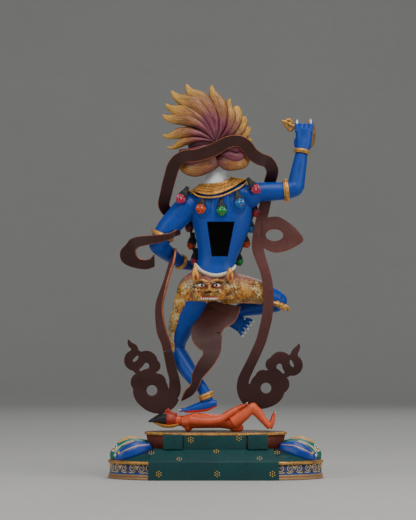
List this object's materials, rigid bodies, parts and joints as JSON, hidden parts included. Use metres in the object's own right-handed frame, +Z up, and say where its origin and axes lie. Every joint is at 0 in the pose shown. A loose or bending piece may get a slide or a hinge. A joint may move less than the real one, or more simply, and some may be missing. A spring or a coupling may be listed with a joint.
{
  "type": "painted metal statue",
  "caption": "Painted metal statue of a lion-faced deity dancing on a trampled body, with flame mane, looping scarf, curved knife and skull cup, on a two-tiered oval plinth.",
  "frame": {"origin": "centre of the bounding box at the plinth's underside", "axes": "+Z up, +Y the way the figure faces, +X towards the figure's own right (raised arm) side"},
  "size_m": [0.2152, 0.1098, 0.3939],
  "materials": {
    "plinth": "painted, satin",
    "trampled_body": "painted, satin",
    "dancing_figure": "painted, satin",
    "flame_mane": "painted, gold tips",
    "scarf_arch": "painted, satin",
    "scarf_left_hook": "painted, satin",
    "scarf_left_streamer": "painted, satin",
    "scarf_left_curl": "painted, satin",
    "scarf_right_streamer": "painted, satin",
    "scarf_right_curl": "painted, satin",
    "sash_tail": "painted, satin",
    "curved_knife": "gilded",
    "skull_cup": "painted bone white"
  },
  "bodies": {
    "root": {"plinth": "plinth", "trampled_body": "trampled_body", "dancing_figure": "dancing_figure", "flame_mane": "flame_mane", "scarf_arch": "scarf_arch", "scarf_left_hook": "scarf_left_hook", "scarf_left_streamer": "scarf_left_streamer", "scarf_left_curl": "scarf_left_curl", "scarf_right_streamer": "scarf_right_streamer", "scarf_right_curl": "scarf_right_curl", "sash_tail": "sash_tail", "curved_knife": "curved_knife", "skull_cup": "skull_cup"}
  },
  "joints": []
}
